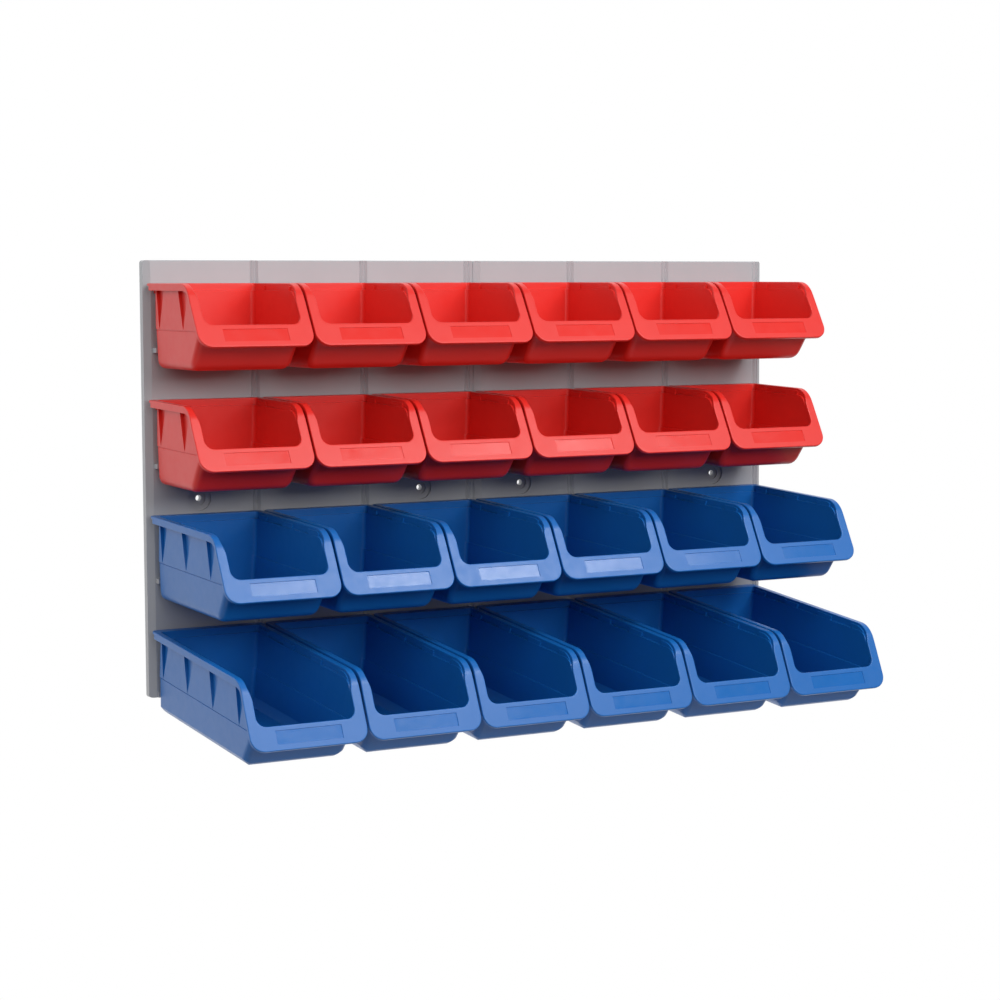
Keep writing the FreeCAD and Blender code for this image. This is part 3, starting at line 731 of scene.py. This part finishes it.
def soft_light(name, azimuth, elevation, distance, width, height, power):
    """Area light that faces the rack. Its direction is (sin a cos e, -cos a cos e, sin e)."""
    a, e = math.radians(azimuth), math.radians(elevation)
    out = np.array([math.sin(a) * math.cos(e), -math.cos(a) * math.cos(e), math.sin(e)])
    data = bpy.data.lights.new(name, "AREA")
    data.shape, data.size, data.size_y, data.energy = "RECTANGLE", width, height, power
    lamp = bpy.data.objects.new(name, data)
    lamp.location = (out * distance).tolist()
    lamp.rotation_mode = "QUATERNION"
    lamp.rotation_quaternion = Vector(out.tolist()).to_track_quat("Z", "Y")
    bpy.context.scene.collection.objects.link(lamp)
    return lamp


soft_light("key_softbox_right", 34, 36, 2.6, 0.75, 0.55, 13)
soft_light("top_softbox_front", 8, 42, 2.6, 1.0, 0.8, 16)
soft_light("broad_softbox_front", 4, 16, 2.6, 2.2, 0.8, 27)
soft_light("fill_softbox_left", -58, 24, 2.6, 1.2, 1.2, 11)

# %% [markdown]
# ## Camera
# The camera stands 2.3 m away, to the left and a little above, and looks slightly down.

# %% Camera
CAMERA_AT = (-1.1352, -1.9809, 0.1555)
YAW, PITCH, ROLL, LENS = 0.532, 0.0818, -0.0052, 90.84


def aim(yaw, pitch, roll):
    """Camera axes: forward f, right r and up u = r x f, with r and u turned by the roll about f."""
    f = np.array([math.sin(yaw) * math.cos(pitch), math.cos(yaw) * math.cos(pitch), -math.sin(pitch)])
    r = np.array([math.cos(yaw), -math.sin(yaw), 0.0])
    u = np.cross(r, f)
    right = math.cos(roll) * r + math.sin(roll) * u
    up = -math.sin(roll) * r + math.cos(roll) * u
    return Matrix(np.stack([right, up, -f], axis=1).tolist()).to_quaternion()


camera_data = bpy.data.cameras.new("camera")
camera_data.lens, camera_data.sensor_width = LENS, 36.0
camera_data.clip_end = 100.0
camera = bpy.data.objects.new("camera", camera_data)
camera.location = CAMERA_AT
camera.rotation_mode = "QUATERNION"
camera.rotation_quaternion = aim(YAW, PITCH, ROLL)
bpy.context.scene.collection.objects.link(camera)
bpy.context.scene.camera = camera
print("camera looks along yaw", round(math.degrees(YAW), 1), "pitch", round(math.degrees(PITCH), 1))
